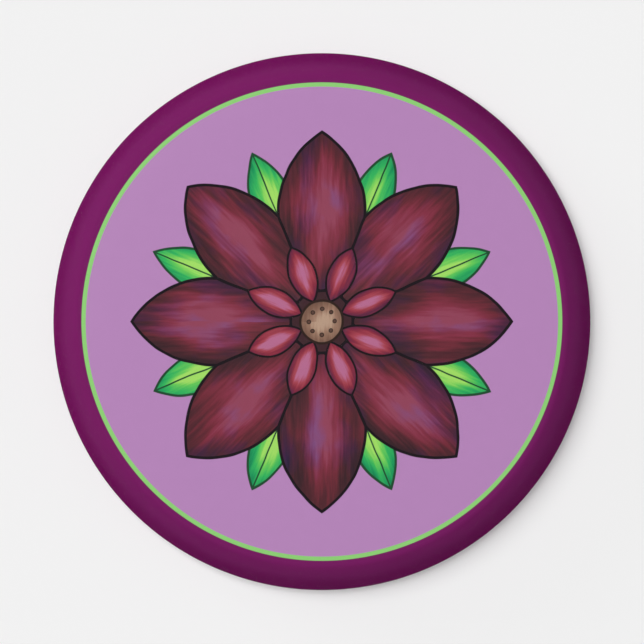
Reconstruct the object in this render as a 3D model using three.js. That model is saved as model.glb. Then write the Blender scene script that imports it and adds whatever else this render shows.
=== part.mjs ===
// A round fridge magnet made the way a badge is: a stamped steel cap is covered by a printed paper disc and a
// clear film, both wrapped over its rim, and a steel back plate clamps their edges inside the cap's rolled lip.
// A ferrite disc taped to the back plate holds the button to a steel surface.
//
// Frame: millimetres, +Z up. The magnet lies on the plane Z = 0 with the printed face up, and Z is the axis of
// the disc. The top of the printed design points along +Y.
import * as THREE from "three";

// Driving dimensions.
const BUTTON_DIAMETER = 57.15; // over the film, the 2 1/4 inch size
const FACE_EDGE_RADIUS = 25.48; // where the face turns into the rim
const CROWN_RISE = 0.45; // of the face above its own edge

const FILM_THICKNESS = 0.05;
const PAPER_THICKNESS = 0.12;
const STEEL_THICKNESS = 0.28;
const SHEET_GAP = 0.01; // air left between sheets that lie on each other

// The rim bends down in three stretches. Each slope is in degrees from the level, at the end of its stretch.
const SHOULDER_RADIUS = 0.85;
const SHOULDER_SLOPE = 41;
const BEVEL_RADIUS = 6.0;
const BEVEL_SLOPE = 60;
const WALL_SLOPE = 70;

const LIP_RADIUS = 0.8; // the roll at the rear of the rim
const FOLD_RADIUS = 0.35; // film and paper, turned up over the cap's lip
const LIP_LENGTH = 0.7; // the level stretch of film between the roll and the fold
const CAP_LIP_LENGTH = 0.45; // how much of that stretch the steel reaches
const TUCK_HEIGHT = 1.0; // film and paper hidden in the seam

const PINSTRIPE_INNER_RADIUS = 24.72; // the printed ring's two edges
const PINSTRIPE_OUTER_RADIUS = 25.16;

const PLATE_RECESS = 1.7; // the back plate's rear face in from the rim's rear edge
const BEAD_START_RADIUS = 17.4; // where the stamped bead begins
const BEAD_FOOT_RADIUS = 0.5;
const BEAD_CREST_RADIUS = 1.0;
const BEAD_SLOPE = 45;
const STEP_START_RADIUS = 25.2; // where the plate steps up over the tucked edges
const STEP_BEND_RADIUS = 0.5;
const STEP_SLOPE = 60;
const PLATE_EDGE_RADIUS = 0.6; // the plate's edge, rolled rearwards into the cap's lip
const PLATE_EDGE_HEIGHT = 0.6; // where that edge ends, in from the rim's rear edge
const PLATE_WALL_GAP = 0.5; // between the rolled edge and the cap's wall

const MAGNET_DIAMETER = 25.0;
const MAGNET_THICKNESS = 2.0;
const MAGNET_CHAMFER = 0.35;
const TAPE_DIAMETER = 22.0;
const TAPE_THICKNESS = 0.5;

const SIDES = 48; // facets round the axis

// Depths below the film's outer surface.
const PAPER_DEPTH = FILM_THICKNESS + SHEET_GAP;
const CAP_DEPTH = PAPER_DEPTH + PAPER_THICKNESS + SHEET_GAP;
const CAP_INNER_DEPTH = CAP_DEPTH + STEEL_THICKNESS;

// Heights of the assembly.
const PLATE_HEIGHT = MAGNET_THICKNESS + TAPE_THICKNESS; // the back plate's rear face
const RIM_HEIGHT = PLATE_HEIGHT - PLATE_RECESS; // the rim's rear edge

const COLOURS = {
  border: 0x76265f,
  pinstripe: 0x8fcd76,
  field: 0xb486b8,
  film: 0xffffff,
  tinplate: 0xc3c5c6,
  tape: 0xe9e7df,
  ferrite: 0x34343a,
};

/** The unit vector at an angle in degrees: 90 is up, 0 is straight out from the axis. */
function direction(degrees) {
  const angle = THREE.MathUtils.degToRad(degrees);
  return new THREE.Vector2(Math.cos(angle), Math.sin(angle));
}

/**
 * The section line of a bent sheet, walked outwards from `start` with the sheet's surface facing up.
 * Each bend goes `run` straight ahead and then turns on `radius` until the surface faces `facing` degrees.
 * The line returned lies `depth` below that surface, so sheets that share bends nest in each other.
 */
function sheetLine(start, bends, depth) {
  const at = start.clone();
  const line = [];
  let facing = 90;
  const mark = (point) => {
    const last = line[line.length - 1];
    if (!last || last.distanceTo(point) > 1e-6) line.push(point);
  };
  for (const { run = 0, radius = 0, facing: next = facing, steps = 1 } of bends) {
    mark(at.clone().addScaledVector(direction(facing), -depth));
    at.addScaledVector(direction(facing - 90), run);
    const turn = Math.sign(facing - next);
    const centre = at.clone().addScaledVector(direction(facing), -turn * radius);
    for (let i = turn === 0 ? steps : 0; i <= steps; i += 1) {
      const angle = THREE.MathUtils.lerp(facing, next, i / steps);
      mark(centre.clone().addScaledVector(direction(angle), turn * radius - depth));
    }
    at.copy(centre).addScaledVector(direction(next), turn * radius);
    facing = next;
  }
  line[0].x = 0; // the walk starts on the axis
  return line;
}

/** A closed solid turned about +Z from a section given as Vector2(radius, height), walked outwards on top. */
function turned(section) {
  return new THREE.LatheGeometry([...section].reverse(), SIDES).rotateX(Math.PI / 2);
}

/** The solid between two depths of a bent sheet. */
function sheet(start, bends, outerDepth, innerDepth) {
  const outer = sheetLine(start, bends, outerDepth);
  const inner = sheetLine(start, bends, innerDepth);
  return turned([...outer, ...inner.reverse()]);
}

/** A disc with both its edges chamfered, its rear face at Z = 0. */
function chamferedDisc(diameter, thickness, chamfer) {
  const radius = diameter / 2;
  return turned([
    new THREE.Vector2(0, thickness),
    new THREE.Vector2(radius - chamfer, thickness),
    new THREE.Vector2(radius, thickness - chamfer),
    new THREE.Vector2(radius, chamfer),
    new THREE.Vector2(radius - chamfer, 0),
    new THREE.Vector2(0, 0),
  ]);
}

/** A plain disc with its rear face at Z = 0. */
function plainDisc(diameter, thickness) {
  const upright = new THREE.CylinderGeometry(diameter / 2, diameter / 2, thickness, SIDES);
  return upright.rotateX(Math.PI / 2).translate(0, 0, thickness / 2);
}

function piece(name, geometry, look) {
  const mesh = new THREE.Mesh(geometry, new THREE.MeshStandardMaterial({ metalness: 0, ...look }));
  mesh.name = name;
  return mesh;
}

// The face, from its crown to its edge, with a station at each edge of the printed pinstripe.
const CROWN_RADIUS = (FACE_EDGE_RADIUS ** 2 + CROWN_RISE ** 2) / (2 * CROWN_RISE);
const slopeAt = (radius) => THREE.MathUtils.radToDeg(Math.asin(radius / CROWN_RADIUS));
const faceStations = [FACE_EDGE_RADIUS / 2, PINSTRIPE_INNER_RADIUS, PINSTRIPE_OUTER_RADIUS, FACE_EDGE_RADIUS];
const face = faceStations.map((radius) => ({ radius: CROWN_RADIUS, facing: 90 - slopeAt(radius) }));

// The rim: a tight shoulder, a bevel, a steep wall as wide as the diameter needs, and the roll round the rear.
const shoulderAndBevel = [
  { radius: SHOULDER_RADIUS, facing: 90 - SHOULDER_SLOPE, steps: 2 },
  { radius: BEVEL_RADIUS, facing: 90 - BEVEL_SLOPE, steps: 2 },
];
const origin = new THREE.Vector2();
const bevelEnd = sheetLine(origin, [...face, ...shoulderAndBevel], 0).at(-1);
const wallTop = direction(90 - BEVEL_SLOPE).x;
const wallFoot = direction(90 - WALL_SLOPE).x;
const wallReach = BUTTON_DIAMETER / 2 - bevelEnd.x - LIP_RADIUS * (1 - wallFoot);
const rim = [
  ...shoulderAndBevel,
  { radius: wallReach / (wallFoot - wallTop), facing: 90 - WALL_SLOPE, steps: 2 },
  { radius: LIP_RADIUS, facing: 0 },
  { radius: LIP_RADIUS, facing: -90, steps: 3 },
];
const buttonThickness = -sheetLine(origin, [...face, ...rim], 0).at(-1).y;
const crown = new THREE.Vector2(0, buttonThickness);

// Film and paper go on round the cap's lip and up into the seam. The steel stops short of that fold.
const wrap = [
  ...face,
  ...rim,
  { run: LIP_LENGTH, radius: FOLD_RADIUS, facing: -180, steps: 2 },
  { run: TUCK_HEIGHT },
];
const cap = [...face, ...rim, { run: CAP_LIP_LENGTH }];

// The back plate: a flat centre, a stamped bead, a step up over the tucked edges and an edge rolled rearwards.
const plateTop = new THREE.Vector2(0, PLATE_RECESS + STEEL_THICKNESS);
const plateInside = [
  { run: BEAD_START_RADIUS, radius: BEAD_FOOT_RADIUS, facing: 90 + BEAD_SLOPE, steps: 2 },
  { radius: BEAD_CREST_RADIUS, facing: 90 - BEAD_SLOPE, steps: 2 },
  { radius: BEAD_FOOT_RADIUS, facing: 90, steps: 2 },
];
const beadEnd = sheetLine(plateTop, plateInside, 0).at(-1);
const plateStep = [
  { run: STEP_START_RADIUS - beadEnd.x, radius: STEP_BEND_RADIUS, facing: 90 + STEP_SLOPE, steps: 2 },
  { radius: STEP_BEND_RADIUS, facing: 90, steps: 2 },
];
const stepEnd = sheetLine(plateTop, [...plateInside, ...plateStep], 0).at(-1);
const plateEdge = BUTTON_DIAMETER / 2 - CAP_INNER_DEPTH - PLATE_WALL_GAP;
const plate = [
  ...plateInside,
  ...plateStep,
  { run: plateEdge - PLATE_EDGE_RADIUS - stepEnd.x, radius: PLATE_EDGE_RADIUS, facing: 0, steps: 3 },
  { run: stepEnd.y - PLATE_EDGE_RADIUS - PLATE_EDGE_HEIGHT },
];

/** Colours the paper's triangles as it is printed: lilac field, green pinstripe, and a border over the rim. */
function printed(geometry) {
  const split = geometry.toNonIndexed();
  const position = split.getAttribute("position");
  const colours = new Float32Array(position.count * 3);
  for (let i = 0; i < position.count; i += 3) {
    let radius = 0;
    for (let k = 0; k < 3; k += 1) radius += Math.hypot(position.getX(i + k), position.getY(i + k)) / 3;
    const onField = radius < PINSTRIPE_INNER_RADIUS;
    const onBorder = radius > PINSTRIPE_OUTER_RADIUS;
    const colour = new THREE.Color(onField ? COLOURS.field : onBorder ? COLOURS.border : COLOURS.pinstripe);
    for (let k = 0; k < 3; k += 1) colour.toArray(colours, (i + k) * 3);
  }
  return split.setAttribute("color", new THREE.BufferAttribute(colours, 3));
}

const tinplate = { color: COLOURS.tinplate, roughness: 0.35, metalness: 1 };

const button = new THREE.Group();
button.position.z = RIM_HEIGHT;
button.add(
  piece("clear_film", sheet(crown, wrap, 0, FILM_THICKNESS), {
    color: COLOURS.film,
    roughness: 0.25,
    transparent: true,
    opacity: 0.12,
  }),
  piece("printed_paper", printed(sheet(crown, wrap, PAPER_DEPTH, PAPER_DEPTH + PAPER_THICKNESS)), {
    vertexColors: true,
    roughness: 0.8,
  }),
  piece("steel_cap", sheet(crown, cap, CAP_DEPTH, CAP_INNER_DEPTH), tinplate),
  piece("back_plate", sheet(plateTop, plate, 0, STEEL_THICKNESS), tinplate),
);

const magnet = piece("disc_magnet", chamferedDisc(MAGNET_DIAMETER, MAGNET_THICKNESS, MAGNET_CHAMFER), {
  color: COLOURS.ferrite,
  roughness: 0.7,
});
const tape = piece("foam_tape", plainDisc(TAPE_DIAMETER, TAPE_THICKNESS), {
  color: COLOURS.tape,
  roughness: 0.95,
});
tape.position.z = MAGNET_THICKNESS;

const fridgeMagnet = new THREE.Group();
fridgeMagnet.add(magnet, tape, button);

export default fridgeMagnet;
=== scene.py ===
"""The looks of a round button fridge magnet that lies face up on a pale surface.

A printed paper disc and a clear polyester film are wrapped over a domed tinplate cap. A tinplate back plate
is pressed in behind them, and a ferrite disc is taped to it. Lengths are in millimetres in the classes, and
each mesh is scaled to metres once it is done.
"""

import logging
import math
import random
from collections.abc import Iterable, Sequence
from dataclasses import dataclass, field
from enum import Enum

import bmesh
import bpy
from bpy.types import Material, Node, NodeSocket, NodeTree, Object
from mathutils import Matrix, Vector


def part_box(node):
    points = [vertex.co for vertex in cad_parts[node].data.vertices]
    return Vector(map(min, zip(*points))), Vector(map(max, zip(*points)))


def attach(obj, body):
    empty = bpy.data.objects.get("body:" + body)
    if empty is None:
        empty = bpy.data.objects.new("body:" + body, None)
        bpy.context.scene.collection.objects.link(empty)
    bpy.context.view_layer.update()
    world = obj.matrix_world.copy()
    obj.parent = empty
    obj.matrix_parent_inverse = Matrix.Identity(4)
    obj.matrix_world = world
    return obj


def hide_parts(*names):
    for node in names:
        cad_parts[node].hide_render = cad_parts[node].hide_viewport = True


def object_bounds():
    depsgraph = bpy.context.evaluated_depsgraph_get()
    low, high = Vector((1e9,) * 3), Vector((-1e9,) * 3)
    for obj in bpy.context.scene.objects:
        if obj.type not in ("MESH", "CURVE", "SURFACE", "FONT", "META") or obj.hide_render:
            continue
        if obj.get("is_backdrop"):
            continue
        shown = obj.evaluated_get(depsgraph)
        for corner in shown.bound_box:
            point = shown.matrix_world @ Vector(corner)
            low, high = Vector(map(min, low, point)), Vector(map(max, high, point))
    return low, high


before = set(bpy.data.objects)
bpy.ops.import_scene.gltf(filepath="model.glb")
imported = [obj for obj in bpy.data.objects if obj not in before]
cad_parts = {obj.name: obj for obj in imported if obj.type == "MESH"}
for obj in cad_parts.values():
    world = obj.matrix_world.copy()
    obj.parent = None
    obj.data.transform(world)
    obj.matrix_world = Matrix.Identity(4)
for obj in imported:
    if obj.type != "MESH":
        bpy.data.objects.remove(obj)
CAD_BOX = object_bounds()

LOG = logging.getLogger("button_magnet")
MM = 0.001
FACE_UP = 90.0  # degrees: the way a level sheet's surface faces
WELD = 0.0005  # mm: corners closer than this are one


class Body(Enum):
    """The bodies of the part. It has no joints, so there is one."""

    ROOT = "root"


class MixSocket(Enum):
    """Where a colour Mix node keeps its inputs and its result."""

    FACTOR = 0
    BELOW = 6
    ABOVE = 7
    RESULT = 2


def linear(code: str) -> tuple[float, float, float, float]:
    """Turns an sRGB colour into a linear one.

    Args:
        code: The colour as "#RRGGBB".

    Returns:
        Linear red, green and blue, and an alpha of 1.
    """
    parts = [int(code[i : i + 2], 16) / 255 for i in (1, 3, 5)]
    red, green, blue = (c / 12.92 if c <= 0.04045 else ((c + 0.055) / 1.055) ** 2.4 for c in parts)
    return red, green, blue, 1.0


def add_node(
    tree: NodeTree,
    kind: str,
    inputs: dict[int | str, object] | None = None,
    stops: Sequence[tuple[float, str]] = (),
    **settings: object,
) -> Node:
    """Adds one node to a tree.

    Args:
        tree: The tree that the node goes into.
        kind: The node's type, without the words that all types start with.
        inputs: A socket to link, or a value to set, for each input by its name or number.
        stops: Places and sRGB colours along a colour ramp.
        settings: The node's own properties.

    Returns:
        The new node.
    """
    node = tree.nodes.new(f"ShaderNode{kind}")
    for name, value in settings.items():
        setattr(node, name, value)
    for key, value in (inputs or {}).items():
        if isinstance(value, NodeSocket):
            tree.links.new(value, node.inputs[key])
        else:
            node.inputs[key].default_value = value
    for i, (place, code) in enumerate(stops):
        elements = node.color_ramp.elements
        stop = elements[i] if i < len(elements) else elements.new(place)
        stop.position = place
        stop.color = linear(code)
    return node


def new_material(name: str, **constants: object) -> tuple[Material, Node]:
    """Makes a material with one Principled shader.

    Args:
        name: The material's name.
        constants: Values set on the shader's own sockets, with underscores for spaces.

    Returns:
        The material and its shader node.
    """
    material = bpy.data.materials.new(name)
    material.use_nodes = True
    shader = material.node_tree.nodes["Principled BSDF"]
    for socket, value in constants.items():
        shader.inputs[socket.replace("_", " ")].default_value = value
    return material, shader


def millimetres(tree: NodeTree, stretch: tuple[float, float, float] = (1, 1, 1)) -> NodeSocket:
    """The place on a piece in millimetres.

    Args:
        tree: The material's tree.
        stretch: Factors along the axes. A small one draws a pattern out along its axis.

    Returns:
        A vector socket.
    """
    place = add_node(tree, "TexCoord").outputs["Object"]
    scale = Vector(stretch) / MM
    return add_node(tree, "Mapping", {"Vector": place, "Scale": scale}).outputs["Vector"]


def lay_over(tree: NodeTree, share: object, below: object, above: object, blend: str = "MIX") -> NodeSocket:
    """Lays one colour over another.

    Args:
        tree: The material's tree.
        share: How much of the upper colour shows, from 0 to 1.
        below: The lower colour, as a socket or a value.
        above: The upper colour.
        blend: The way the two are mixed.

    Returns:
        The mixed colour.
    """
    inks = {MixSocket.FACTOR.value: share, MixSocket.BELOW.value: below, MixSocket.ABOVE.value: above}
    mix = add_node(tree, "Mix", inks, data_type="RGBA", blend_type=blend)
    return mix.outputs[MixSocket.RESULT.value]


# --------------------------------------------------------------------------------------------------
# Finishes
# --------------------------------------------------------------------------------------------------


@dataclass(frozen=True)
class PolyesterFilm:
    """Clear biaxial polyester film, calendered: a faint veil that leaves the print's colours alone."""

    tint: str = "#BCBCC0"
    haze: float = 0.002  # the share of the light that each of its two faces stops
    roughness: float = 0.3

    def material(self) -> Material:
        """Builds the film's material."""
        made, _ = new_material(
            "clear_polyester_film",
            Base_Color=linear(self.tint),
            Alpha=self.haze,
            Roughness=self.roughness,
        )
        return made


@dataclass(frozen=True)
class BarePaper:
    """Uncoated white paper, as on the print's rear and its cut edge: dull, with a fine fibre tooth."""

    colour: str = "#ECEAE4"
    roughness: float = 0.9
    fibre: float = 0.25  # mm across, coarser than real fibres so that it shows
    relief: float = 0.01  # mm
    relief_strength: float = 0.3

    def material(self) -> Material:
        """Builds the bare paper's material.

        Returns:
            The material.
        """
        made, shader = new_material("bare_paper", Base_Color=linear(self.colour), Roughness=self.roughness)
        tree = made.node_tree
        tooth = add_node(tree, "TexNoise", {"Vector": millimetres(tree), "Scale": 1 / self.fibre})
        bump = {
            "Strength": self.relief_strength,
            "Distance": self.relief * MM,
            "Height": tooth.outputs["Fac"],
        }
        tree.links.new(add_node(tree, "Bump", bump).outputs["Normal"], shader.inputs["Normal"])
        return made


@dataclass(frozen=True)
class MarkerPen:
    """Alcohol marker on coated paper: fine strokes over broad washes, darker towards an outline."""

    streak: float = 0.4  # mm between strokes
    stroke_length: float = 10.0  # a stroke's length over the space between strokes
    stroke_weight: float = 0.75  # how far the strokes shift the tone
    wash_scale: tuple[float, float] = (0.11, 0.3)  # washes to a mm, along the oval and across it
    wash_weight: float = 0.8
    edge_tone: float = -0.42  # what is added to the tone at the outline
    middle_tone: float = 0.28  # and at the oval's middle
    patch_scale: tuple[float, float] = (0.16, 0.34)  # patches of a second marker to a mm, along and across
    patch_place: tuple[float, float, float] = (5.0, 9.0, 3.0)  # sets them apart from the washes
    patch_share: tuple[float, float] = (0.5, 0.74)  # the noise between which a patch fades in
    copy_steps: tuple[float, float, float] = (2.7, 3.1, 2.3)  # part the copies' strokes, washes and patches
    detail: float = 3.0  # levels of noise in strokes and patches


@dataclass(frozen=True)
class Motif:
    """One kind of pointed oval in a compass-drawn rosette, repeated round the middle.

    Its two sides are arcs of one circle, so a slim one is a petal and one as wide as it is long is a dot.
    """

    count: int
    turn: float  # degrees from the top of the design to the first one
    middle: float  # mm from the rosette's middle to the oval's
    half_length: float
    half_width: float
    outline: float  # mm, the width of the drawn line
    ink: str  # the outline's colour
    fill: Sequence[tuple[float, str]]  # from the darkest tone to the lightest
    second_fill: Sequence[tuple[float, str]] = ()  # a second marker's tones, laid in patches over the first
    pen: MarkerPen = MarkerPen()
    vein: float = 0.0  # mm, the width of a line drawn down the middle

    def place(
        self, tree: NodeTree, radius: NodeSocket, angle: NodeSocket
    ) -> tuple[NodeSocket, NodeSocket, NodeSocket]:
        """Folds the print's coordinates onto one oval.

        Args:
            tree: The material's tree.
            radius: Millimetres from the rosette's middle.
            angle: Radians round it.

        Returns:
            The place along the oval from its middle, the place across it, and a number of the copy's own.
        """
        share = math.pi / self.count
        first = math.radians(FACE_UP + self.turn)
        turned = add_node(tree, "Math", {0: angle, 1: first}, operation="SUBTRACT").outputs[0]
        folded = add_node(tree, "Math", {0: turned, 1: share, 2: -share}, operation="WRAP").outputs[0]
        copy = add_node(tree, "Math", {0: turned, 1: folded}, operation="SUBTRACT").outputs[0]
        cosine = add_node(tree, "Math", {0: folded}, operation="COSINE").outputs[0]
        sine = add_node(tree, "Math", {0: folded}, operation="SINE").outputs[0]
        along = add_node(
            tree, "Math", {0: radius, 1: cosine, 2: -self.middle}, operation="MULTIPLY_ADD"
        ).outputs[0]
        across = add_node(tree, "Math", {0: radius, 1: sine}, operation="MULTIPLY").outputs[0]
        return along, across, copy

    def depth(self, tree: NodeTree, along: NodeSocket, across: NodeSocket) -> NodeSocket:
        """The distance from the outline, or from the border with the next copy.

        Args:
            tree: The material's tree.
            along: The place along the oval from its middle.
            across: The place across it.

        Returns:
            Millimetres, positive inside.
        """
        bow = (self.half_length**2 + self.half_width**2) / (2 * self.half_width)
        side = add_node(tree, "Math", {0: across}, operation="ABSOLUTE").outputs[0]
        lifted = add_node(tree, "Math", {0: side, 1: bow - self.half_width}, operation="ADD").outputs[0]
        arm = add_node(tree, "CombineXYZ", {"X": along, "Y": lifted}).outputs[0]
        reach = add_node(tree, "VectorMath", {0: arm}, operation="LENGTH").outputs["Value"]
        inside = add_node(tree, "Math", {0: bow, 1: reach}, operation="SUBTRACT").outputs[0]
        if self.count == 1:
            return inside
        sine, cosine = math.sin(math.pi / self.count), math.cos(math.pi / self.count)
        start = self.middle * sine + self.outline / 2  # half of a shared line lies on each side of the border
        border = add_node(tree, "Math", {0: along, 1: sine, 2: start}, operation="MULTIPLY_ADD").outputs[0]
        seam = add_node(tree, "Math", {0: side, 1: -cosine, 2: border}, operation="MULTIPLY_ADD").outputs[0]
        return add_node(tree, "Math", {0: inside, 1: seam}, operation="MINIMUM").outputs[0]

    def shade(
        self, tree: NodeTree, along: NodeSocket, across: NodeSocket, copy: NodeSocket, depth: NodeSocket
    ) -> NodeSocket:
        """The marker's colour inside the outline: dark at the edge, with strokes that run along the oval.

        Args:
            tree: The material's tree.
            along: The place along the oval from its middle.
            across: The place across it.
            copy: The copy's own number.
            depth: The distance from the outline.

        Returns:
            The colour.
        """
        pen = self.pen
        stroke_step, wash_step, patch_step = pen.copy_steps
        lane = add_node(tree, "CombineXYZ", {"X": along, "Y": across, "Z": copy}).outputs[0]
        size = (1 / (pen.stroke_length * pen.streak), 1 / pen.streak, stroke_step)
        strokes = add_node(tree, "Mapping", {"Vector": lane, "Scale": size}).outputs[0]
        noise = {"Vector": strokes, "Scale": 1.0, "Detail": pen.detail}
        fine = add_node(tree, "TexNoise", noise).outputs["Fac"]
        size = (*pen.wash_scale, wash_step)
        washes = add_node(tree, "Mapping", {"Vector": lane, "Scale": size}).outputs[0]
        broad = add_node(tree, "TexNoise", {"Vector": washes, "Scale": 1.0, "Detail": 1.0}).outputs["Fac"]
        tones = {"From Max": self.half_width, "To Min": pen.edge_tone, "To Max": pen.middle_tone}
        rise = add_node(
            tree, "MapRange", {"Value": depth, **tones}, interpolation_type="SMOOTHSTEP"
        ).outputs[0]
        mixed = add_node(tree, "Math", {0: fine, 1: pen.stroke_weight, 2: rise}, operation="MULTIPLY_ADD")
        summed = {0: broad, 1: pen.wash_weight, 2: mixed.outputs[0]}
        tone = add_node(tree, "Math", summed, operation="MULTIPLY_ADD").outputs[0]
        fill = add_node(tree, "ValToRGB", {"Fac": tone}, self.fill).outputs["Color"]
        if not self.second_fill:
            return fill
        size = (*pen.patch_scale, patch_step)
        patches = add_node(tree, "Mapping", {"Vector": lane, "Location": pen.patch_place, "Scale": size})
        noise = {"Vector": patches.outputs[0], "Scale": 1.0, "Detail": pen.detail}
        patch = add_node(tree, "TexNoise", noise).outputs["Fac"]
        ends = dict(zip(("From Min", "From Max"), pen.patch_share))
        share = add_node(tree, "MapRange", {"Value": patch, **ends}).outputs[0]
        second = add_node(tree, "ValToRGB", {"Fac": tone}, self.second_fill).outputs["Color"]
        return lay_over(tree, share, fill, second)


WARM_PLUMS = (
    (0.0, "#2A1C22"),
    (0.24, "#3C2228"),
    (0.44, "#54262E"),
    (0.62, "#6E2A36"),
    (0.8, "#823044"),
    (1.0, "#8E4258"),
)
COOL_PLUMS = (
    (0.0, "#221B38"),
    (0.24, "#2F2040"),
    (0.44, "#422044"),
    (0.62, "#5A2850"),
    (0.8, "#6E3B69"),
    (1.0, "#7A4E84"),
)
LEAF_GREENS = ((0.0, "#0E643E"), (0.3, "#1C965A"), (0.55, "#34B25C"), (0.8, "#68C858"), (1.0, "#A0DA64"))
CRIMSONS = ((0.0, "#351624"), (0.3, "#5E2340"), (0.55, "#86293C"), (0.8, "#A2424F"), (1.0, "#B0668A"))
TANS = ((0.0, "#4E342C"), (0.4, "#7A5A4A"), (0.7, "#94725F"), (1.0, "#B3957F"))
SEED_BROWNS = ((0.0, "#3A2A26"), (1.0, "#5A4036"))
LEAF_OUTLINE, PETAL_OUTLINE, SEED_OUTLINE = "#1F4A30", "#1A1218", "#2C1D18"
FINE_PEN, BLUNT_PEN = MarkerPen(streak=0.3), MarkerPen(streak=0.5)


@dataclass(frozen=True)
class PrintedPaper:
    """Coated paper, digitally printed: flat solid inks, a crisp pinstripe and a rosette in marker strokes."""

    field_ink: str = "#B585B9"
    pinstripe_ink: str = "#8DCE75"
    border_ink_and_rim_shade: tuple[str, str] = ("#731C5D", "#6C0954")  # the border's ink beside the pinstripe, and round the rim a darker one that is painted shade
    rim_shade_blend: tuple[float, float] = (26.9, 27.8)  # mm, where the painted shade darkens the border towards the rim's edge
    pinstripe: tuple[float, float] = (24.72, 25.16)  # mm, the ring's two edges
    give: tuple[float, float] = (1.0025, 0.9975)  # how the damp paper drew out across its grain and along it
    edge: float = 0.04  # mm over which one ink gives way to the next
    wobble: float = 0.3  # mm by which a hand-drawn line strays
    wobble_scale: float = 0.3  # wobbles to a mm
    mottle: float = 0.02  # how much the ink's strength varies
    mottle_size: float = 1.2  # mm
    roughness: float = 0.55  # the coated paper's own
    tooth: float = 0.2  # mm, the paper's grain as it shows through the film
    relief: float = 0.004  # mm
    relief_strength: float = 0.1
    gloss: tuple[float, float] = (1.0, 0.03)  # the film's, on the level face and where the rim stretches it
    gloss_fade: tuple[float, float] = (24.6, 25.6)  # mm, where the one gives way to the other
    gloss_roughness: float = 0.15
    motifs: Sequence[Motif] = (
        Motif(8, 22.5, 13.6, 5.6, 2.2, 0.26, LEAF_OUTLINE, LEAF_GREENS, vein=0.16),
        Motif(8, 0.0, 11.5, 8.6, 4.7, 0.3, PETAL_OUTLINE, WARM_PLUMS, COOL_PLUMS),
        Motif(1, 0.0, 0.0, 3.4, 3.4, 0.3, PETAL_OUTLINE, WARM_PLUMS[:2], pen=BLUNT_PEN),
        Motif(8, 22.5, 5.3, 3.2, 1.5, 0.22, PETAL_OUTLINE, CRIMSONS, pen=FINE_PEN),
        Motif(1, 0.0, 0.0, 2.35, 2.35, 0.26, SEED_OUTLINE, TANS, pen=FINE_PEN),
        Motif(8, 0.0, 1.35, 0.24, 0.24, 0.08, SEED_OUTLINE, SEED_BROWNS, pen=BLUNT_PEN),
    )

    def mask(self, tree: NodeTree, value: NodeSocket, start: float) -> NodeSocket:
        """Makes a mask with a crisp edge.

        Args:
            tree: The material's tree.
            value: What is compared.
            start: Where the edge is.

        Returns:
            A number that goes from 0 to 1 as the value passes the start.
        """
        ends = {"Value": value, "From Min": start - self.edge / 2, "From Max": start + self.edge / 2}
        return add_node(tree, "MapRange", ends).outputs[0]

    def rosette(self, tree: NodeTree, place: NodeSocket) -> NodeSocket:
        """Draws the motifs over the field, each with its outline, its fill and its vein.

        Args:
            tree: The material's tree.
            place: The place on the print in millimetres.

        Returns:
            The ink's colour.
        """
        noise = {"Vector": place, "Scale": self.wobble_scale, "Detail": 1.0}
        stray = add_node(tree, "TexNoise", noise).outputs["Color"]
        middle = (0.5, 0.5, 0.5)  # of the noise
        centred = add_node(tree, "VectorMath", {0: stray, 1: middle}, operation="SUBTRACT").outputs[0]
        drawn = add_node(
            tree, "VectorMath", {0: centred, 1: (self.wobble,) * 3, 2: place}, operation="MULTIPLY_ADD"
        ).outputs[0]
        flat = add_node(tree, "VectorMath", {0: drawn, 1: (1, 1, 0)}, operation="MULTIPLY").outputs[0]
        radius = add_node(tree, "VectorMath", {0: flat}, operation="LENGTH").outputs["Value"]
        parts = add_node(tree, "SeparateXYZ", {"Vector": flat})
        angle = add_node(
            tree, "Math", {0: parts.outputs["Y"], 1: parts.outputs["X"]}, operation="ARCTAN2"
        ).outputs[0]
        ink: object = linear(self.field_ink)
        for motif in self.motifs:
            along, across, copy = motif.place(tree, radius, angle)
            depth = motif.depth(tree, along, across)
            fill = motif.shade(tree, along, across, copy, depth)
            if motif.vein:
                side = add_node(tree, "Math", {0: across}, operation="ABSOLUTE").outputs[0]
                fill = lay_over(tree, self.mask(tree, side, motif.vein / 2), linear(motif.ink), fill)
            ink = lay_over(tree, self.mask(tree, depth, 0.0), ink, linear(motif.ink))
            ink = lay_over(tree, self.mask(tree, depth, motif.outline), ink, fill)
        return ink

    def mottled(self, tree: NodeTree, place: NodeSocket, ink: NodeSocket) -> NodeSocket:
        """Varies the ink's strength a little, as paper takes it up unevenly.

        Args:
            tree: The material's tree.
            place: The place on the print in millimetres.
            ink: The even colour.

        Returns:
            The mottled colour.
        """
        cloud = add_node(tree, "TexNoise", {"Vector": place, "Scale": 1 / self.mottle_size, "Detail": 4.0})
        ends = {"Value": cloud.outputs["Fac"], "To Min": 1 - self.mottle, "To Max": 1 + self.mottle}
        strength = add_node(tree, "MapRange", ends).outputs[0]
        return lay_over(tree, 1.0, ink, strength, "MULTIPLY")

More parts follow.
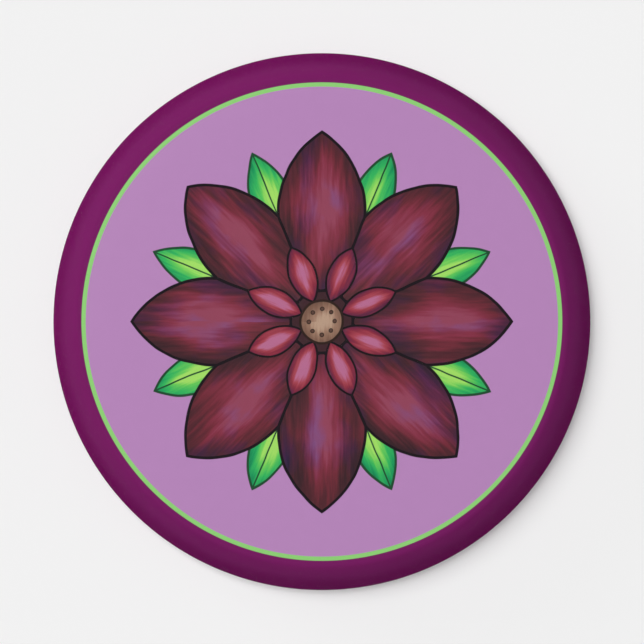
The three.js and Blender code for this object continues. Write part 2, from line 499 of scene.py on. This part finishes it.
    def material(self) -> Material:
        """Builds the printed paper's material.

        Returns:
            The material.
        """
        made, shader = new_material(
            "printed_coated_paper",
            Roughness=self.roughness,
            Specular_IOR_Level=0.0,
            Coat_Roughness=self.gloss_roughness,
        )
        tree = made.node_tree
        place = millimetres(tree)
        ease = (1 / self.give[0], 1 / self.give[1], 0)
        flat = add_node(tree, "VectorMath", {0: place, 1: ease}, operation="MULTIPLY").outputs[0]
        radius = add_node(tree, "VectorMath", {0: flat}, operation="LENGTH").outputs["Value"]
        ink = self.rosette(tree, place)
        ink = lay_over(tree, self.mask(tree, radius, self.pinstripe[0]), ink, linear(self.pinstripe_ink))
        # painted shade: the border's ink darkens towards the rim's edge, where the rim curves down
        ends = dict(zip(("From Min", "From Max"), self.rim_shade_blend))
        painted_rim_shade = add_node(tree, "MapRange", {"Value": radius, **ends}).outputs[0]
        border = lay_over(tree, painted_rim_shade, *(linear(code) for code in self.border_ink_and_rim_shade))
        ink = lay_over(tree, self.mask(tree, radius, self.pinstripe[1]), ink, border)
        tree.links.new(self.mottled(tree, place, ink), shader.inputs["Base Color"])
        tooth = add_node(tree, "TexNoise", {"Vector": place, "Scale": 1 / self.tooth, "Detail": 2.0})
        bump = {
            "Strength": self.relief_strength,
            "Distance": self.relief * MM,
            "Height": tooth.outputs["Fac"],
        }
        tree.links.new(add_node(tree, "Bump", bump).outputs["Normal"], shader.inputs["Normal"])
        (start, end), (face, rim) = self.gloss_fade, self.gloss
        fade = {"Value": radius, "From Min": start, "From Max": end, "To Min": face, "To Max": rim}
        tree.links.new(add_node(tree, "MapRange", fade).outputs[0], shader.inputs["Coat Weight"])
        return made


@dataclass(frozen=True)
class Tinplate:
    """Bright tinplate, rolled and stamped: a soft sheen drawn out along the sheet, with faint scratches."""

    dull: str = "#BDBCB8"
    bright: str = "#D2D1CD"
    grain: tuple[float, float] = (0.3, 14.0)  # mm across and along a rolling line, coarser so that it shows
    roughness: tuple[float, float] = (0.24, 0.38)
    scratch: tuple[float, float] = (0.22, 7.0)  # mm across and along
    scratch_turn: float = 34.0  # degrees from the rolling lines
    scratch_share: tuple[float, float] = (0.66, 0.74)  # the noise between which a scratch fades in
    tone_share: tuple[float, float] = (0.3, 0.7)  # the noise at which the dull and the bright tone are full
    relief: float = 0.003  # mm
    relief_strength: float = 0.3

    def material(self) -> Material:
        """Builds the tinplate's material.

        Returns:
            The material.
        """
        made, shader = new_material("rolled_tinplate", Metallic=1.0)
        tree = made.node_tree
        width, length = self.grain
        lines = millimetres(tree, (1 / length, 1 / width, 1 / width))
        rolled = add_node(tree, "TexNoise", {"Vector": lines, "Scale": 1.0, "Detail": 3.0}).outputs["Fac"]
        tones = tuple(zip(self.tone_share, (self.dull, self.bright)))
        ramp = add_node(tree, "ValToRGB", {"Fac": rolled}, tones)
        tree.links.new(ramp.outputs["Color"], shader.inputs["Base Color"])
        turn = (0, 0, math.radians(self.scratch_turn))
        turned = add_node(tree, "Mapping", {"Vector": millimetres(tree), "Rotation": turn}).outputs[0]
        width, length = self.scratch
        size = (1 / length, 1 / width, 1 / width)
        drawn = add_node(tree, "Mapping", {"Vector": turned, "Scale": size}).outputs[0]
        noise = add_node(tree, "TexNoise", {"Vector": drawn, "Scale": 1.0, "Detail": 1.0}).outputs["Fac"]
        ends = dict(zip(("From Min", "From Max"), self.scratch_share))
        scratches = add_node(tree, "MapRange", {"Value": noise, **ends}).outputs[0]
        worn = add_node(tree, "Math", {0: rolled, 1: scratches}, operation="MAXIMUM").outputs[0]
        low, high = self.roughness
        sheen = add_node(tree, "MapRange", {"Value": worn, "To Min": low, "To Max": high}).outputs[0]
        tree.links.new(sheen, shader.inputs["Roughness"])
        relief = add_node(tree, "Math", {0: rolled, 1: scratches}, operation="SUBTRACT").outputs[0]
        bump = {"Strength": self.relief_strength, "Distance": self.relief * MM, "Height": relief}
        tree.links.new(add_node(tree, "Bump", bump).outputs["Normal"], shader.inputs["Normal"])
        return made


@dataclass(frozen=True)
class SinteredFerrite:
    """Sintered ferrite, ground flat: dark grey and dull, with a fine grain and faint grinding lines."""

    dark: str = "#28282D"
    light: str = "#4B4B52"
    grain: float = 0.3  # mm, coarser than the real grain so that it shows
    line: tuple[float, float] = (0.35, 16.0)  # mm across and along a grinding line
    line_share: float = 0.55  # how much of the tone comes from the lines
    tone_share: tuple[float, float] = (0.36, 0.64)  # the noise at which the dark and the light tone are full
    roughness: float = 0.58
    relief: float = 0.02  # mm
    relief_strength: float = 0.35

    def material(self) -> Material:
        """Builds the ferrite's material.

        Returns:
            The material.
        """
        made, shader = new_material("ground_ferrite", Roughness=self.roughness)
        tree = made.node_tree
        place = millimetres(tree)
        noise = {"Vector": place, "Scale": 1 / self.grain, "Detail": 4.0}
        specks = add_node(tree, "TexNoise", noise).outputs["Fac"]
        width, length = self.line
        lines = millimetres(tree, (1 / length, 1 / width, 1 / width))
        ground = add_node(tree, "TexNoise", {"Vector": lines, "Scale": 1.0, "Detail": 2.0}).outputs["Fac"]
        tone = add_node(tree, "Mix", {0: self.line_share, 2: specks, 3: ground}).outputs[0]
        tones = tuple(zip(self.tone_share, (self.dark, self.light)))
        ramp = add_node(tree, "ValToRGB", {"Fac": tone}, tones)
        tree.links.new(ramp.outputs["Color"], shader.inputs["Base Color"])
        bump = {"Strength": self.relief_strength, "Distance": self.relief * MM, "Height": tone}
        tree.links.new(add_node(tree, "Bump", bump).outputs["Normal"], shader.inputs["Normal"])
        return made


@dataclass(frozen=True)
class FoamTape:
    """Closed-cell polyethylene foam, die-cut: off-white and dull, with small cells on the cut edge."""

    colour: str = "#E6E3DA"
    cell: float = 0.2  # mm
    roughness: float = 0.95
    relief: float = 0.05  # mm
    relief_strength: float = 0.6

    def material(self) -> Material:
        """Builds the foam's material.

        Returns:
            The material.
        """
        colour = linear(self.colour)
        made, shader = new_material("closed_cell_foam", Base_Color=colour, Roughness=self.roughness)
        tree = made.node_tree
        cells = add_node(tree, "TexVoronoi", {"Vector": millimetres(tree), "Scale": 1 / self.cell})
        bump = {
            "Strength": self.relief_strength,
            "Distance": self.relief * MM,
            "Height": cells.outputs["Distance"],
        }
        tree.links.new(add_node(tree, "Bump", bump).outputs["Normal"], shader.inputs["Normal"])
        return made


@dataclass(frozen=True)
class StudioCard:
    """Matt white card under the magnet."""

    colour: str = "#F0F0F0"

    def material(self) -> Material:
        """Builds the card's material."""
        made, _ = new_material(
            "matt_white_card", Base_Color=linear(self.colour), Roughness=1.0, Specular_IOR_Level=0.0
        )
        return made


# --------------------------------------------------------------------------------------------------
# Sheet metal, paper and film
# --------------------------------------------------------------------------------------------------


class SectionPen:
    """Draws the section of a bent sheet as wire edges, outwards from the axis and with its face up at first.

    Sheets that lie on each other share their bends: each is drawn at its own depth below the outer surface.
    """

    def __init__(self, mesh: bmesh.types.BMesh, height: float, depth: float = 0.0) -> None:
        """Puts the pen on the axis.

        Args:
            mesh: Where the edges go.
            height: The outermost surface's height on the axis, in millimetres.
            depth: How far below that surface the line runs.
        """
        self.mesh = mesh
        self.depth = depth
        self.facing = FACE_UP
        self.tip = mesh.verts.new((0.0, 0.0, height - depth))

    def direction(self, degrees: float) -> Vector:
        """The unit vector at an angle from the level, in the section's plane."""
        return Vector((math.cos(math.radians(degrees)), 0.0, math.sin(math.radians(degrees))))

    def run(self, length: float) -> None:
        """Draws straight ahead.

        Args:
            length: How far, in millimetres.
        """
        made = bmesh.ops.extrude_vert_indiv(self.mesh, verts=[self.tip])
        self.tip = made["verts"][0]
        ahead = self.direction(self.facing - 90) * length
        bmesh.ops.translate(self.mesh, verts=[self.tip], vec=ahead)

    def bend(self, radius: float, facing: float, steps: int) -> None:
        """Draws an arc.

        Args:
            radius: The bend's radius on the outermost surface, in millimetres.
            facing: The way that the surface faces after the bend, in degrees from the level.
            steps: The number of edges in the arc.
        """
        turn = self.facing - facing
        to_centre = self.depth - math.copysign(radius, turn)
        made = bmesh.ops.spin(
            self.mesh,
            geom=[self.tip],
            cent=self.tip.co + self.direction(self.facing) * to_centre,
            axis=(0, 1, 0),
            angle=math.radians(turn),
            steps=steps,
        )
        self.tip = next(v for v in made["geom_last"] if isinstance(v, bmesh.types.BMVert))
        self.facing = facing


def revolve(mesh: bmesh.types.BMesh, segments: int) -> None:
    """Turns a section once round the Z axis, with its faces pointing away from the sheet's wall.

    Args:
        mesh: The section's edges.
        segments: The number of faces round the axis.
    """
    bmesh.ops.spin(
        mesh,
        geom=[*mesh.verts, *mesh.edges],
        cent=(0, 0, 0),
        axis=(0, 0, 1),
        angle=math.tau,
        steps=segments,
        use_merge=True,
    )
    bmesh.ops.remove_doubles(mesh, verts=mesh.verts[:], dist=WELD)
    bmesh.ops.recalc_face_normals(mesh, faces=mesh.faces[:])
    mesh.normal_update()


def thicken(mesh: bmesh.types.BMesh, thickness: float, inner_slot: int = 0) -> None:
    """Gives a surface a wall behind its faces.

    Args:
        mesh: An open surface with its normals outwards.
        thickness: The wall's thickness in millimetres.
        inner_slot: The material slot of the wall's inner face and its edge.
    """
    outer = set(mesh.faces)
    bmesh.ops.solidify(mesh, geom=mesh.faces[:], thickness=thickness)
    for face in mesh.faces:
        if face not in outer:
            face.material_index = inner_slot
    bmesh.ops.recalc_face_normals(mesh, faces=mesh.faces[:])


def finish_piece(
    name: str,
    mesh: bmesh.types.BMesh,
    materials: Iterable[Material],
    node: str,
    crease: float = 40.0,
) -> Object:
    """Makes a mesh a piece of the magnet that stands for a node of the frame.

    Args:
        name: The piece's name.
        mesh: The mesh in millimetres. It is used up.
        materials: One for each of the piece's slots.
        node: The node that it replaces.
        crease: Edges that turn by more than this many degrees are drawn sharp.

    Returns:
        The new object.
    """
    bmesh.ops.scale(mesh, vec=(MM, MM, MM), verts=mesh.verts)
    data = bpy.data.meshes.new(name)
    mesh.to_mesh(data)
    mesh.free()
    data.shade_smooth()
    data.set_sharp_from_angle(angle=math.radians(crease))
    piece = bpy.data.objects.new(name, data)
    bpy.context.scene.collection.objects.link(piece)
    for material in materials:
        data.materials.append(material)
    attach(piece, Body.ROOT.value)
    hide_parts(node)
    return piece


@dataclass
class Pleats:
    """The small tucks that film and paper fold into where the rim pulls them in to a smaller circle."""

    count: int = 88
    height: float = 0.13  # mm, of the tallest
    height_share: tuple[float, float] = (0.3, 1.0)  # of that, from the lowest to the tallest
    stray: float = 0.3  # of the space between two pleats, by which each may stand out of line
    slope: float = 0.55  # of the space between two pleats, on the side that lies flat
    steepness: float = 5.0  # of the folded side, set against the flat one
    seed: int = 7
    places: list[tuple[float, float]] = field(init=False)

    def __post_init__(self) -> None:
        """Draws each pleat's place, in turns, and its height."""
        draw = random.Random(self.seed)
        self.places = [
            (
                (i + draw.uniform(-self.stray, self.stray)) / self.count,
                draw.uniform(*self.height_share) * self.height,
            )
            for i in range(self.count)
        ]

    def lift(self, angle: float) -> float:
        """How far the sheets stand off.

        Args:
            angle: Radians round the axis.

        Returns:
            Millimetres.
        """
        turns = angle / math.tau % 1.0
        lift = 0.0
        for place, height in self.places:
            off = ((turns - place + 0.5) % 1.0 - 0.5) * self.count / self.slope
            lift = max(lift, height * (1 - (off if off > 0 else -off * self.steepness)))
        return lift

    def fold(self, mesh: bmesh.types.BMesh, start_radius: float, end_radius: float, below: float) -> None:
        """Raises the pleats on the rear of a wrapped sheet.

        Args:
            mesh: The sheet's outer surface.
            start_radius: Where they begin, in millimetres from the axis.
            end_radius: Where they are full.
            below: Only what lies below this height is pleated.
        """
        lifts: dict[float, float] = {}  # by the angle, to a hundredth of a degree
        for vert in mesh.verts:
            if vert.co.z > below:
                continue
            radius = math.hypot(vert.co.x, vert.co.y)
            share = min(max((start_radius - radius) / (start_radius - end_radius), 0.0), 1.0)
            angle = math.atan2(vert.co.y, vert.co.x)
            key = round(math.degrees(angle), 2)
            if key not in lifts:
                lifts[key] = self.lift(angle)
            vert.co += vert.normal * lifts[key] * share
        mesh.normal_update()


@dataclass
class Button:
    """The button's front: the steel cap, with the print and the film wrapped over it."""

    diameter: float = 57.15
    face_edge_radius: float = 25.48
    crown_rise: float = 0.45
    shoulder_radius: float = 0.85
    shoulder_slope: float = 41.0  # degrees from the level
    bevel_radius: float = 6.0
    bevel_slope: float = 60.0
    wall_slope: float = 70.0
    lip_radius: float = 0.8
    lip_length: float = 0.7
    fold_radius: float = 0.35
    tuck_height: float = 1.0
    cap_lip_length: float = 0.45
    film_thickness: float = 0.05
    paper_thickness: float = 0.12
    steel_thickness: float = 0.28
    sheet_gap: float = 0.01
    wrap_segments: int = 704  # eight to each pleat
    cap_segments: int = 192
    pleats: Pleats = field(default_factory=Pleats)

    @property
    def crown(self) -> float:
        """The height of the middle of the face."""
        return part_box("clear_film")[1].z / MM

    @property
    def widest(self) -> float:
        """The height at which the rim is widest."""
        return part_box("clear_film")[0].z / MM + self.lip_radius

    def draw_front(self, mesh: bmesh.types.BMesh, depth: float) -> SectionPen:
        """Draws the section from the crown over the rim to the rear of the lip.

        Args:
            mesh: Where the edges go.
            depth: How far below the film's surface the line runs.

        Returns:
            The pen, where the lip's level stretch begins.
        """
        crown_radius = (self.face_edge_radius**2 + self.crown_rise**2) / (2 * self.crown_rise)
        sines = [
            self.face_edge_radius / crown_radius,
            *(math.sin(math.radians(s)) for s in (self.shoulder_slope, self.bevel_slope, self.wall_slope)),
        ]
        reach = self.shoulder_radius * (sines[1] - sines[0]) + self.bevel_radius * (sines[2] - sines[1])
        left = self.diameter / 2 - self.face_edge_radius - reach - self.lip_radius * (1 - sines[3])
        wall_radius = left / (sines[3] - sines[2])
        pen = SectionPen(mesh, self.crown, depth)
        pen.bend(crown_radius, FACE_UP - math.degrees(math.asin(sines[0])), steps=8)
        pen.bend(self.shoulder_radius, FACE_UP - self.shoulder_slope, steps=7)
        pen.bend(self.bevel_radius, FACE_UP - self.bevel_slope, steps=5)
        pen.bend(wall_radius, FACE_UP - self.wall_slope, steps=4)
        pen.bend(self.lip_radius, 0.0, steps=2)
        pen.bend(self.lip_radius, -90.0, steps=8)
        return pen

    def wrapped(self, depth: float, thickness: float, inner_slot: int) -> bmesh.types.BMesh:
        """A sheet that goes over the rim, round the lip and up into the seam, with its pleats.

        Args:
            depth: How far its outer surface is below the film's.
            thickness: Its thickness.
            inner_slot: The material slot of its inner face and its edge.

        Returns:
            The sheet's mesh.
        """
        mesh = bmesh.new()
        pen = self.draw_front(mesh, depth)
        pen.run(self.lip_length / 2)
        pen.run(self.lip_length / 2)
        pen.bend(self.fold_radius, -180.0, steps=5)
        pen.run(self.tuck_height)
        revolve(mesh, self.wrap_segments)
        start = self.diameter / 2 - self.lip_radius / 2
        self.pleats.fold(mesh, start, start - self.lip_radius - self.lip_length / 2, self.widest)
        thicken(mesh, thickness, inner_slot)
        return mesh

    def film(self) -> Object:
        """The clear film."""
        mesh = self.wrapped(0.0, self.film_thickness, 0)
        return finish_piece("face_film", mesh, [PolyesterFilm().material()], "clear_film")

    def printed(self) -> Object:
        """The printed paper, bare on its rear and its cut edge."""
        mesh = self.wrapped(self.film_thickness + self.sheet_gap, self.paper_thickness, 1)
        materials = [PrintedPaper().material(), BarePaper().material()]
        return finish_piece("face_print", mesh, materials, "printed_paper")

    def cap(self) -> Object:
        """The stamped cap, whose edge ends inside the lip."""
        mesh = bmesh.new()
        depth = self.film_thickness + self.paper_thickness + 2 * self.sheet_gap
        pen = self.draw_front(mesh, depth)
        pen.run(self.cap_lip_length)
        revolve(mesh, self.cap_segments)
        thicken(mesh, self.steel_thickness)
        return finish_piece("cap", mesh, [Tinplate().material()], "steel_cap")

    def build(self) -> Iterable[Object]:
        """Builds the three sheets, from the outside in."""
        for make in (self.film, self.printed, self.cap):
            yield make()


@dataclass
class BackPlate:
    """The stamped plate that closes the button: a beaded disc, stepped up over the tucked edges."""

    steel_thickness: float = 0.28
    bead_start_radius: float = 17.4
    bead_foot_radius: float = 0.5
    bead_crest_radius: float = 1.0
    bead_slope: float = 45.0
    step_start_radius: float = 25.2
    step_bend_radius: float = 0.5
    step_slope: float = 60.0
    edge_radius: float = 0.6
    segments: int = 256

    def build(self) -> Iterable[Object]:
        """Builds the plate.

        Returns:
            The one piece.
        """
        low, high = (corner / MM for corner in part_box("back_plate"))
        step = 2 * self.step_bend_radius * (1 - math.cos(math.radians(self.step_slope)))
        mesh = bmesh.new()
        pen = SectionPen(mesh, high.z - step)
        pen.run(self.bead_start_radius)
        pen.bend(self.bead_foot_radius, FACE_UP + self.bead_slope, steps=5)
        pen.bend(self.bead_crest_radius, FACE_UP - self.bead_slope, steps=10)
        pen.bend(self.bead_foot_radius, FACE_UP, steps=5)
        pen.run(self.step_start_radius - pen.tip.co.x)
        pen.bend(self.step_bend_radius, FACE_UP + self.step_slope, steps=6)
        pen.bend(self.step_bend_radius, FACE_UP, steps=6)
        pen.run(high.x - self.edge_radius - pen.tip.co.x)
        pen.bend(self.edge_radius, 0.0, steps=6)
        pen.run(pen.tip.co.z - low.z)
        revolve(mesh, self.segments)
        thicken(mesh, self.steel_thickness)
        yield finish_piece("rear_plate", mesh, [Tinplate().material()], "back_plate")


@dataclass
class MagnetDisc:
    """The ferrite disc, with its edges chamfered by tumbling and a few small chips knocked out of them."""

    chamfer: float = 0.35
    crease: float = 30.0  # degrees
    chips: int = 11
    chip_width: tuple[float, float] = (0.4, 1.1)
    chip_depth: float = 0.22  # of the deepest
    depth_share: tuple[float, float] = (0.3, 1.0)  # of that, from the shallowest to the deepest
    segments: int = 240
    seed: int = 19

    def chip(self, mesh: bmesh.types.BMesh, radius: float, middle_height: float) -> None:
        """Pushes the edges in where they are chipped.

        Args:
            mesh: The disc.
            radius: The disc's radius in millimetres.
            middle_height: The height that parts the upper edge from the lower one.
        """
        draw = random.Random(self.seed)
        for _ in range(self.chips):
            angle, upper = draw.uniform(0, math.tau), draw.random() < 0.5
            width = draw.uniform(*self.chip_width)
            depth = draw.uniform(*self.depth_share) * self.chip_depth
            middle = Vector((math.cos(angle), math.sin(angle), 0)) * radius
            for vert in mesh.verts:
                flat = Vector((vert.co.x, vert.co.y, 0))
                away = (flat - middle).length / width
                on_edge = (vert.co.z > middle_height) == upper and flat.length > radius - 2 * self.chamfer
                if away < 1 and on_edge:
                    vert.co -= flat.normalized() * depth * (1 - away**2)

    def build(self) -> Iterable[Object]:
        """Builds the disc.

        Returns:
            The one piece.
        """
        low, high = (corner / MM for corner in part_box("disc_magnet"))
        thickness = high.z - low.z
        mesh = bmesh.new()
        bmesh.ops.create_cone(
            mesh,
            cap_ends=True,
            segments=self.segments,
            radius1=high.x,
            radius2=high.x,
            depth=thickness,
        )
        bmesh.ops.translate(mesh, verts=mesh.verts, vec=(0, 0, low.z + thickness / 2))
        rims = [e for e in mesh.edges if abs(e.verts[0].co.z - e.verts[1].co.z) < WELD]
        bmesh.ops.bevel(
            mesh,
            geom=rims,
            offset=self.chamfer,
            segments=3,
            profile=0.5,
            affect="EDGES",
            material=-1,
        )
        self.chip(mesh, high.x, low.z + thickness / 2)
        materials = [SinteredFerrite().material()]
        yield finish_piece("ferrite_disc", mesh, materials, "disc_magnet", self.crease)


@dataclass
class TapePad:
    """The foam pad between the plate and the magnet, squeezed so that its edge bulges."""

    bulge: float = 0.12
    rows: int = 5
    segments: int = 180

    def build(self) -> Iterable[Object]:
        """Builds the pad.

        Returns:
            The one piece.
        """
        low, high = (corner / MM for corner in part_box("foam_tape"))
        thickness = high.z - low.z
        mesh = bmesh.new()
        bmesh.ops.create_cone(
            mesh,
            cap_ends=True,
            segments=self.segments,
            radius1=high.x - self.bulge,
            radius2=high.x - self.bulge,
            depth=thickness,
        )
        bmesh.ops.translate(mesh, verts=mesh.verts, vec=(0, 0, low.z + thickness / 2))
        side = [e for e in mesh.edges if abs(e.verts[0].co.z - e.verts[1].co.z) > WELD]
        bmesh.ops.subdivide_edges(mesh, edges=side, cuts=self.rows - 1)
        for vert in mesh.verts:
            height = (vert.co.z - low.z) / thickness
            out = self.bulge * math.sin(math.pi * height)
            vert.co += Vector((vert.co.x, vert.co.y, 0)).normalized() * out
        yield finish_piece("tape_pad", mesh, [FoamTape().material()], "foam_tape")


# --------------------------------------------------------------------------------------------------
# Studio
# --------------------------------------------------------------------------------------------------


@dataclass(frozen=True)
class Lamp:
    """A round soft light, polarised against the lens so that it leaves no glare on the film."""

    name: str
    azimuth: float  # degrees from +X, seen from above
    tilt: float  # degrees off the vertical
    size: float  # degrees across
    level: float  # the brightness that it gives a level white card, where 1 is the brightest shown

    def hang(self) -> None:
        """Puts the light up."""
        tilt, azimuth = math.radians(self.tilt), math.radians(self.azimuth)
        data = bpy.data.lights.new(self.name, "SUN")
        data.energy = self.level * math.pi / math.cos(tilt)
        data.angle = math.radians(self.size)
        light = bpy.data.objects.new(self.name, data)
        toward = Vector(
            (math.sin(tilt) * math.cos(azimuth), math.sin(tilt) * math.sin(azimuth), math.cos(tilt))
        )
        light.rotation_euler = toward.to_track_quat("Z", "Y").to_euler()
        light.visible_glossy = False
        bpy.context.scene.collection.objects.link(light)


@dataclass
class Studio:
    """A pale card, a large soft light from the upper left, two small ones, and a long lens above."""

    card_width: float = 3.0  # metres
    lamps: Sequence[Lamp] = (
        Lamp("key", 145.0, 26.0, 37.0, 0.53),
        Lamp("overhead", 0.0, 0.0, 8.0, 0.34),
        Lamp("side", 145.0, 80.0, 30.0, 0.025),
    )
    sky_level: float = 0.12  # the brightness that the sky adds
    horizon_level: float = 0.9
    horizon_height: float = 0.1  # sine of the elevation up to which the sky is brighter
    horizon_share: float = 0.3  # of the squared height: what the bright band gives a level card
    lens: float = 200.0
    sensor: float = 36.0
    clip: tuple[float, float] = (0.01, 10.0)  # metres
    frame_px: float = 644.0
    disc_centre_px: tuple[float, float] = (321.35, 321.1)
    rim_radius_px: float = 269.0

    def camera(self) -> None:
        """Hangs the camera over the magnet, at the height that gives the disc its size in the frame."""
        low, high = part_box("clear_film")
        focal_px = self.lens / self.sensor * self.frame_px
        widest = low.z + Button.lip_radius * MM
        height = widest + high.x * focal_px / self.rim_radius_px
        middle = (self.frame_px - 1) / 2
        metres_per_px = high.x / self.rim_radius_px
        data = bpy.data.cameras.new("camera")
        data.lens = self.lens
        data.sensor_width = self.sensor
        data.clip_start, data.clip_end = self.clip
        camera = bpy.data.objects.new("camera", data)
        camera.location = (
            (middle - self.disc_centre_px[0]) * metres_per_px,
            (self.disc_centre_px[1] - middle) * metres_per_px,
            height,
        )
        bpy.context.scene.collection.objects.link(camera)
        bpy.context.scene.camera = camera

    def sky(self) -> None:
        """Surrounds the card with a plain sky that is brighter near the horizon."""
        world = bpy.data.worlds.new("studio")
        world.use_nodes = True
        tree = world.node_tree
        way = add_node(tree, "TexCoord").outputs["Generated"]
        up = add_node(tree, "SeparateXYZ", {"Vector": way}).outputs["Z"]
        band = self.horizon_share * self.horizon_height**2
        above = (self.sky_level - self.horizon_level * band) / (1 - band)
        ends = {"From Max": self.horizon_height, "To Min": self.horizon_level, "To Max": above}
        glow = add_node(tree, "MapRange", {"Value": up, **ends}, interpolation_type="SMOOTHSTEP").outputs[0]
        tree.links.new(glow, tree.nodes["Background"].inputs["Strength"])
        tree.nodes["Background"].inputs["Color"].default_value = linear("#FFFFFF")
        bpy.context.scene.world = world

    def card(self) -> None:
        """Lays the card under the magnet."""
        mesh = bmesh.new()
        bmesh.ops.create_grid(mesh, x_segments=1, y_segments=1, size=self.card_width / 2)
        data = bpy.data.meshes.new("card")
        mesh.to_mesh(data)
        mesh.free()
        data.materials.append(StudioCard().material())
        card = bpy.data.objects.new("card", data)
        bpy.context.scene.collection.objects.link(card)
        card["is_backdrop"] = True

    def build(self) -> None:
        """Sets the studio up."""
        bpy.context.scene.view_settings.view_transform = "Standard"
        for lamp in self.lamps:
            lamp.hang()
        for make in (self.camera, self.sky, self.card):
            make()


def main() -> None:
    """Builds the magnet piece by piece."""
    logging.basicConfig(level=logging.INFO, format="%(name)s: %(message)s")
    Studio().build()
    for assembly in (Button(), BackPlate(), TapePad(), MagnetDisc()):
        for piece in assembly.build():
            LOG.info("%s: %d faces", piece.name, len(piece.data.polygons))
    boxes = [[list(corner) for corner in box] for box in (CAD_BOX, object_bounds())]


if __name__ == "__main__":
    main()
